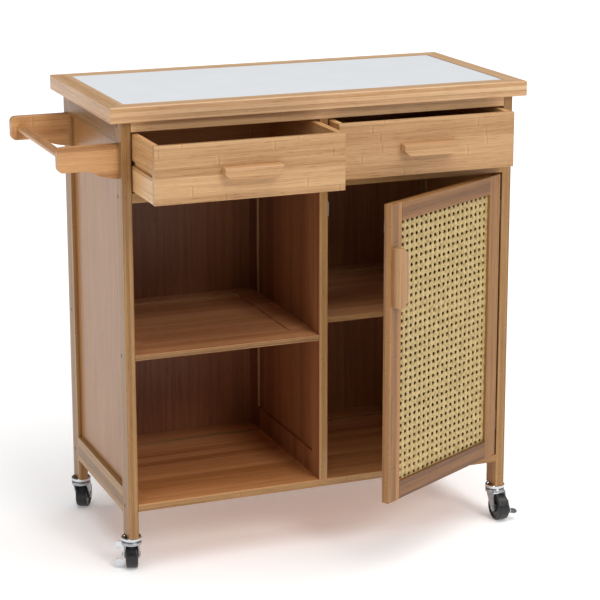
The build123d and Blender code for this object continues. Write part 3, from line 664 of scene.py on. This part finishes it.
@dataclass
class Carcass:
    """Legs, rails, panels, shelves and runners."""

    board: LacqueredBamboo = LacqueredBamboo(pale="#B38956", body="#9B7141", deep="#765129")
    towel: LacqueredBamboo = LacqueredBamboo(pale="#CF9E69", body="#BC8756", deep="#986636")
    # Painted light: the rail below the worktop is made paler than the other boards to make up for the
    # worktop's shadow on it
    fascia_painted_light: LacqueredBamboo = LacqueredBamboo(pale="#EBC598", body="#DFB585", deep="#BF915F", strip_mm=24.0)
    ply: LacqueredBamboo = LacqueredBamboo(
        pale="#B27E4C", body="#A4713F", deep="#89592E", strip_mm=48.0, layer_mm=40.0, tone_spread=0.16,
        barred=0.0, roughness=0.38, shine=0.42, lacquer=0.16, lacquer_roughness=0.14,
    )
    # Painted shade: the back panel's inner face is darker than its outer face, for the shade inside the
    # bays
    lining_painted_shade: LacqueredBamboo = LacqueredBamboo(
        pale="#9C6740", body="#8B5531", deep="#6E4023", strip_mm=48.0, layer_mm=40.0, tone_spread=0.2,
        barred=0.0, shine=0.3, lacquer=0.08,
    )
    shelf: LacqueredBamboo = LacqueredBamboo(
        pale="#DCA476", body="#CC8E60", deep="#A96C40", strip_mm=24.0, tone_spread=0.26, barred=0.15,
        roughness=0.36, lacquer=0.3,
    )
    base: LacqueredBamboo = LacqueredBamboo(
        pale="#D49A66", body="#C2824F", deep="#9E6434", strip_mm=24.0, tone_spread=0.26, barred=0.15,
        roughness=0.36, lacquer=0.3,
    )
    # Painted shade: the divider and runners are darker than the front boards, for the shade inside the bays
    inside_painted_shade: LacqueredBamboo = LacqueredBamboo(
        pale="#9C653E", body="#8A5433", deep="#6C3F22", barred=0.2, shine=0.3, lacquer=0.08
    )
    boards: dict[str, Lie] = field(
        default_factory=lambda: {
            "leg_front_left": UPRIGHT_SIDE,
            "leg_front_right": UPRIGHT_SIDE,
            "leg_rear_left": UPRIGHT_SIDE,
            "leg_rear_right": UPRIGHT_SIDE,
            "side_rail_low_left": DEEP_EDGE,
            "side_rail_low_right": DEEP_EDGE,
            "side_rail_top_left": DEEP_EDGE,
            "side_rail_top_right": DEEP_EDGE,
            "rear_top_rail": CROSSWISE_EDGE,
            "drawer_rails": CROSSWISE_FLAT,
        }
    )
    panels: dict[str, Lie] = field(
        default_factory=lambda: {"side_panel_left": UPRIGHT_SIDE, "side_panel_right": UPRIGHT_SIDE}
    )
    shelves: dict[str, Lie] = field(
        default_factory=lambda: {"shelf_left": CROSSWISE_FLAT, "shelf_right": CROSSWISE_FLAT}
    )
    inner: dict[str, Lie] = field(
        default_factory=lambda: {"divider": UPRIGHT_SIDE, "drawer_runners": DEEP_EDGE}
    )
    towel_holder: dict[str, Lie] = field(
        default_factory=lambda: {"towel_brackets": CROSSWISE_EDGE, "towel_rod": DEEP_FLAT}
    )
    square_on: float = 0.9    # a face whose normal has this much of Y is a front or a rear face

    def build(self) -> None:
        """Dress every fixed board, then the front edges and the back panel's outer veneer."""
        groups = (
            (self.board, self.boards),
            (self.ply, self.panels),
            (self.shelf, self.shelves),
            (self.inside_painted_shade, self.inner),
            (self.towel, self.towel_holder),
            (self.lining_painted_shade, {"back_panel": UPRIGHT_FRONT}),
            (self.base, {"bottom_board": CROSSWISE_FLAT}),
            (self.fascia_painted_light, {"front_top_rail": CROSSWISE_EDGE}),
        )
        for group, (finish, nodes) in enumerate(groups):
            for count, (node, lie) in enumerate(nodes.items()):
                seed = 10.0 * (group + 1) + 1.37 * count
                dress(node, finish.material(f"bamboo_{node}", node, lie, seed))
        edged = {"divider": UPRIGHT_SIDE, "bottom_board": CROSSWISE_FLAT, **self.shelves}
        for count, (node, lie) in enumerate(edged.items()):
            edge = self.board.material(f"bamboo_{node}_edge", node, lie, 83.0 + 1.53 * count)
            self.veneer(node, edge, -1)
        # The outer face keeps the plain ply tone; only the inner face carries the painted shade
        outside = self.ply.material("bamboo_back_panel_outside", "back_panel", UPRIGHT_FRONT, 88.2)
        self.veneer("back_panel", outside, 1)
        LOG.info("carcass dressed")

    def veneer(self, node: str, material: bpy.types.Material, towards: int) -> None:
        """Give a board's front or rear faces a second material.

        Args:
            node: CAD node's name.
            material: The second material.
            towards: -1 for the front faces, 1 for the rear ones.
        """
        mesh = frame["nodes"][node].data
        mesh.materials.append(material)
        for face in mesh.polygons:
            face.material_index = 1 if towards * face.normal.y > self.square_on else 0


@dataclass
class Drawers:
    """Both drawers' boards, thin floors and handles."""

    front: LacqueredBamboo = LacqueredBamboo(strip_mm=17.0, tone_spread=0.22, barred=0.7)
    box: LacqueredBamboo = LacqueredBamboo(pale="#E6BC86", body="#D5A572", deep="#AE7C47", strip_mm=25.0)
    floor: LacqueredBamboo = LacqueredBamboo(
        pale="#B58D66", body="#A17B57", deep="#846142", strip_mm=60.0, layer_mm=40.0, tone_spread=0.2,
        barred=0.0,
    )
    handle: LacqueredBamboo = LacqueredBamboo(
        pale="#D3A876", body="#C09364", deep="#A07246", strip_mm=9.0, layer_mm=7.0, tone_spread=0.22,
        barred=0.2,
    )

    def build(self) -> None:
        """Dress each drawer's six nodes."""
        for count, side in enumerate(("left", "right")):
            seed = 50.0 + 20.0 * count
            lies = {
                "front": (self.front, CROSSWISE_EDGE),
                "divider_side": (self.box, DEEP_EDGE),
                "leg_side": (self.box, DEEP_EDGE),
                "back": (self.box, CROSSWISE_EDGE),
                "floor": (self.floor, CROSSWISE_FLAT),
                "handle": (self.handle, CROSSWISE_EDGE),
            }
            for place, (part, (finish, lie)) in enumerate(lies.items()):
                node = f"drawer_{side}_{part}"
                dress(node, finish.material(f"bamboo_{node}", node, lie, seed + 2.61 * place))
        LOG.info("drawers dressed")


class Strand(Enum):
    """Runs of cane in the weave, by how far each lies towards the front, in millimetres."""

    UP = 0.55
    ACROSS = 0.1
    FALLING = -0.1
    RISING = -0.35


@dataclass
class Door:
    """Framed door with a panel of octagonal cane webbing."""

    stile: LacqueredBamboo = LacqueredBamboo(pale="#B17F49", body="#986A38", deep="#744B22", strip_mm=17.0)
    # Painted shade: the rails are darker than the stiles, for the shade on the door as it stands turned
    # away
    rail: LacqueredBamboo = LacqueredBamboo(pale="#956738", body="#7D5228", deep="#5D3918", strip_mm=17.0)
    handle: LacqueredBamboo = LacqueredBamboo(
        pale="#BE9565", body="#AB8056", deep="#8A613A", strip_mm=9.0, layer_mm=7.0, tone_spread=0.22,
        barred=0.2,
    )
    cane: Rattan = Rattan()
    pitch_mm: tuple[float, float] = (14.3, 14.0)    # one square of the weave, across and up
    strand_mm: float = 2.9    # width of an upright or level strand
    pair_mm: float = 3.2      # between the two strands of a pair
    slant_mm: float = 3.5     # width of a slanting strand
    thick_mm: float = 0.45
    rise_mm: float = 0.45     # how far a strand swings to pass over its neighbours
    reach: float = 1.7        # slanting strands' length in panel diagonals, enough to pass every corner
    pivot: Vector = field(init=False)
    turn: float = field(init=False)

    def __post_init__(self) -> None:
        """Find the hinge and how far open the door stands."""
        hinge = next(joint for joint in frame["joints"] if joint["name"] == "door_hinge")
        self.pivot = Vector(hinge["pos_m"])
        self.turn = math.radians(-hinge["range_deg"][0])

    def build(self) -> None:
        """Dress the frame and weave the panel."""
        upright = Lie(Way.Z, Way.X, Way.Y, self.turn)
        level = Lie(Way.X, Way.Z, Way.Y, self.turn)
        lies = {
            "door_stile_hinge": upright,
            "door_stile_free": upright,
            "door_rail_low": level,
            "door_rail_top": level,
        }
        for count, (node, lie) in enumerate(lies.items()):
            # The rails take the darker finish that carries painted shade
            finish = self.rail if "rail" in node else self.stile
            dress(node, finish.material(f"bamboo_{node}", node, lie, 90.0 + 1.91 * count))
        dress("door_handle", self.handle.material("bamboo_door_handle", "door_handle", upright, 99.3))
        self.weave()

    def closed_box(self, node: str) -> tuple[Vector, Vector]:
        """Find a door node's box with the door turned shut about its hinge.

        Args:
            node: CAD node's name.

        Returns:
            Lowest and highest corner, in metres.
        """
        shut = self.opening().inverted()
        places = [shut @ vertex.co for vertex in frame["nodes"][node].data.vertices]
        low = Vector([min(place[i] for place in places) for i in range(3)])
        high = Vector([max(place[i] for place in places) for i in range(3)])
        return low, high

    def opening(self) -> Matrix:
        """Give the turn about the hinge that takes the shut door to where it stands."""
        swung = Matrix.Rotation(self.turn, 4, "Z")
        return Matrix.Translation(self.pivot) @ swung @ Matrix.Translation(-self.pivot)

    def weave(self) -> None:
        """Weave pairs of upright and level strands with single strands on both slants."""
        low, high = self.closed_box("door_cane")
        middle = (low + high) / 2
        wide, tall = high.x - low.x, high.z - low.z
        step_x, step_z = (pitch * MM for pitch in self.pitch_mm)
        columns = math.ceil(wide / step_x / 2)
        rows = math.ceil(tall / step_z / 2)
        webbing = bmesh.new()

        # Half a step off the middle, so that a hole stands at the panel's centre
        for column in range(-columns, columns):
            self.pair(webbing, Strand.UP, middle.x + (column + 0.5) * step_x, tall, step_z, middle)
        for row in range(-rows, rows):
            self.pair(webbing, Strand.ACROSS, middle.z + (row + 0.5) * step_z, wide, step_x, middle)
        slope = math.atan2(step_z, step_x)
        crossing = math.hypot(step_x, step_z) / 2
        span = self.reach * math.hypot(wide, tall)
        for count in range(-columns - rows, columns + rows):
            spot = middle + Vector(((count + 0.5) * step_x, 0.0, 0.0))
            for slant, sign in ((Strand.RISING, 1), (Strand.FALLING, -1)):
                self.strand(webbing, slant, spot, sign * slope, span, self.slant_mm, crossing)
        self.trim(webbing, low, high)
        bmesh.ops.solidify(webbing, geom=webbing.faces[:], thickness=self.thick_mm * MM)
        bmesh.ops.recalc_face_normals(webbing, faces=webbing.faces[:])
        bmesh.ops.transform(webbing, matrix=self.opening(), verts=webbing.verts[:])
        piece = finish_piece(webbing, "cane_webbing", self.cane.material(), "door")
        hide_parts("door_cane")

    def pair(
        self, webbing: bmesh.types.BMesh, run: Strand, at: float, length: float, step: float, middle: Vector
    ) -> None:
        """Lay two parallel strands.

        Args:
            webbing: Mesh being built.
            run: Upright or level.
            at: Place of the pair's middle line, along X or Z.
            length: Length of the strands.
            step: Distance between crossings along them.
            middle: Middle of the panel.
        """
        for side in (-0.5, 0.5):
            place = at + side * self.pair_mm * MM
            if run is Strand.UP:
                spot, angle = Vector((place, middle.y, middle.z)), math.pi / 2
            else:
                spot, angle = Vector((middle.x, middle.y, place)), 0.0
            self.strand(webbing, run, spot, angle, length, self.strand_mm, step)

    def strand(
        self,
        webbing: bmesh.types.BMesh,
        run: Strand,
        spot: Vector,
        angle: float,
        length: float,
        width_mm: float,
        step: float,
    ) -> None:
        """Lay one flat strand that rises and dips as it crosses the others.

        Args:
            webbing: Mesh being built.
            run: Which of the four runs it belongs to.
            spot: Its middle.
            angle: Its slope in the panel, from level.
            length: Its length.
            width_mm: Its width.
            step: Distance between crossings along it.
        """
        segments = max(2, round(length / step * 2))
        shape = Matrix.Diagonal((length / 2, width_mm * MM / 2, 1.0, 1.0))
        made = bmesh.ops.create_grid(webbing, x_segments=segments, y_segments=1, size=1.0, matrix=shape)
        for vertex in made["verts"]:
            swing = math.cos(math.pi * vertex.co.x / step)
            vertex.co.z = (run.value + self.rise_mm / 2 * swing) * MM
        stand = Matrix.Rotation(math.pi / 2, 4, "X")
        place = Matrix.Translation(spot) @ Matrix.Rotation(-angle, 4, "Y") @ stand
        bmesh.ops.transform(webbing, matrix=place, verts=made["verts"])

    def trim(self, webbing: bmesh.types.BMesh, low: Vector, high: Vector) -> None:
        """Cut the webbing to the groove in the frame.

        Args:
            webbing: Mesh being built.
            low: Lowest corner of the panel.
            high: Highest corner of the panel.
        """
        for corner, axis, sign in ((low, 0, -1), (high, 0, 1), (low, 2, -1), (high, 2, 1)):
            outward = Vector((0, 0, 0))
            outward[axis] = sign
            geometry = webbing.verts[:] + webbing.edges[:] + webbing.faces[:]
            bmesh.ops.bisect_plane(
                webbing, geom=geometry, dist=1e-6, plane_co=corner, plane_no=outward, clear_outer=True
            )


@dataclass
class Fittings:
    """Screws, pins, hinges, catch and casters."""

    chrome: Metal = Metal("bright_chrome_plate", "#DADCDF", "#C4C7CB", 0.13, 0.05, 9.0)
    zinc: Metal = Metal("zinc_plated_steel", "#B9BCC0", "#8F9296", 0.34, 0.08, 5.0)
    black_oxide: Metal = Metal("black_oxide_steel", "#3A2B22", "#1D1612", 0.45, 0.08, 1.5)
    bronze: Metal = Metal("bronzed_steel", "#6B5743", "#4A3A2C", 0.42, 0.06, 3.0)
    catch_shell: Metal = Metal("satin_aluminium", "#C9CBCD", "#ADB0B3", 0.36, 0.05, 3.0)
    nylon: BlackNylon = BlackNylon()

    def build(self) -> None:
        """Dress every metal and nylon node."""
        chrome, zinc = self.chrome.material(), self.zinc.material()
        nylon = self.nylon.material()
        dress("carcass_screws", self.black_oxide.material())
        dress("door_catch", self.catch_shell.material())
        bronze = self.bronze.material()
        for node in ("hinge_leaves_leg", "hinge_pins", "hinge_leaves_door"):
            dress(node, bronze)
        for node in ("shelf_pins", "door_strike_plate"):
            dress(node, zinc)
        dress("caster_stems", chrome)
        for corner in ("front_left", "front_right", "rear_left", "rear_right"):
            dress(f"caster_fork_{corner}", zinc)
            dress(f"caster_wheel_{corner}", nylon)
        for corner in ("front_left", "front_right"):
            dress(f"brake_lever_{corner}", chrome)
        LOG.info("fittings dressed")


# ------------------------------------------------------------------ studio
@dataclass
class Studio:
    """Pale floor, soft light from above and in front, and a long lens at standing height."""

    floor_m: float = 60.0
    eye: tuple[float, float, float] = (-1.365, -3.522, 1.462)
    yaw: float = 21.86
    pitch: float = 13.57
    lens_mm: float = 122.58
    shift: tuple[float, float] = (-0.0168, -0.10)
    room: float = 0.22        # strength of the white room's own light
    glow: float = 0.20        # what the lit floor gives back beyond its own colour

    def build(self) -> None:
        """Make the floor, the lights and the camera."""
        self.floor()
        self.sky()
        self.sun("overhead", (0.10, -0.20, 1.0), 55.0, 2.05)
        self.sun("key", (0.18, -0.78, 0.56), 18.0, 0.93)
        self.sun("fill_right", (0.60, -0.75, 0.30), 50.0, 0.16)
        self.sun("fill_left", (-1.00, -0.22, 0.30), 45.0, 0.45)
        self.camera()
        bpy.context.scene.view_settings.view_transform = "Standard"

    def floor(self) -> None:
        """Lay a wide matt floor of painted board."""
        material, tree = new_material("pale_studio_floor")
        place = add_node(tree, "ShaderNodeTexCoord")
        mottle = add_node(
            tree, "ShaderNodeTexNoise", None,
            {"Vector": place.outputs["Object"], "Scale": 3.0, "Detail": 2.0},
        )
        tone = add_node(
            tree, "ShaderNodeValToRGB",
            {"stops": [(0.3, linear("#F6F6F6")), (0.7, linear("#FAFAFA"))]}, {0: mottle.outputs["Fac"]},
        )
        shader = add_node(
            tree, "ShaderNodeBsdfPrincipled", None,
            {
                "Base Color": tone.outputs[0],
                "Roughness": 0.9,
                "Specular IOR Level": 0.1,
                "Emission Color": (1.0, 1.0, 1.0, 1.0),
                "Emission Strength": self.glow,
            },
        )
        add_node(tree, "ShaderNodeOutputMaterial", None, {0: shader.outputs[0]})
        sheet = bmesh.new()
        bmesh.ops.create_grid(sheet, x_segments=4, y_segments=4, size=self.floor_m / 2)
        mesh = bpy.data.meshes.new("studio_floor")
        sheet.to_mesh(mesh)
        sheet.free()
        mesh.materials.append(material)
        floor = bpy.data.objects.new("studio_floor", mesh)
        bpy.context.scene.collection.objects.link(floor)

    def sky(self) -> None:
        """Fill the room with even white light, and stand a white backdrop behind the floor's far edge."""
        world = bpy.data.worlds.new("white_room")
        world.use_nodes = True
        world.node_tree.nodes.clear()
        white = (1.0, 1.0, 1.0, 1.0)
        light = add_node(world.node_tree, "ShaderNodeBackground", None, {0: white, 1: self.room})
        backdrop = add_node(world.node_tree, "ShaderNodeBackground", None, {0: white, 1: 1.0})
        seen = add_node(world.node_tree, "ShaderNodeLightPath")
        either = add_node(
            world.node_tree, "ShaderNodeMixShader", None,
            {0: seen.outputs["Is Camera Ray"], 1: light.outputs[0], 2: backdrop.outputs[0]},
        )
        add_node(world.node_tree, "ShaderNodeOutputWorld", None, {0: either.outputs[0]})
        bpy.context.scene.world = world

    def sun(self, name: str, towards: tuple[float, float, float], spread: float, strength: float) -> None:
        """Add an even light with soft shadows, like a large softbox a long way off.

        Args:
            name: The light's name.
            towards: Direction from the trolley to the light.
            spread: Its width in degrees.
            strength: Its strength.
        """
        lamp = bpy.data.lights.new(name, "SUN")
        lamp.energy = strength
        lamp.angle = math.radians(spread)
        light = bpy.data.objects.new(name, lamp)
        light.rotation_euler = (-Vector(towards)).to_track_quat("-Z", "Y").to_euler()
        bpy.context.scene.collection.objects.link(light)

    def camera(self) -> None:
        """Place the camera, level from side to side."""
        lens = bpy.data.cameras.new("camera")
        lens.lens = self.lens_mm
        lens.sensor_width = 36.0
        lens.shift_x, lens.shift_y = self.shift
        lens.clip_end = 200.0
        camera = bpy.data.objects.new("camera", lens)
        camera.location = self.eye
        camera.rotation_euler = (math.radians(90 - self.pitch), 0.0, math.radians(-self.yaw))
        bpy.context.scene.collection.objects.link(camera)
        bpy.context.scene.camera = camera


def main() -> None:
    """Build the trolley's looks and the studio round it."""
    logging.basicConfig(level=logging.INFO, format="%(name)s %(message)s")
    for assembly in (Worktop(), Carcass(), Drawers(), Door(), Fittings(), Studio()):
        assembly.build()


if __name__ == "__main__":
    main()
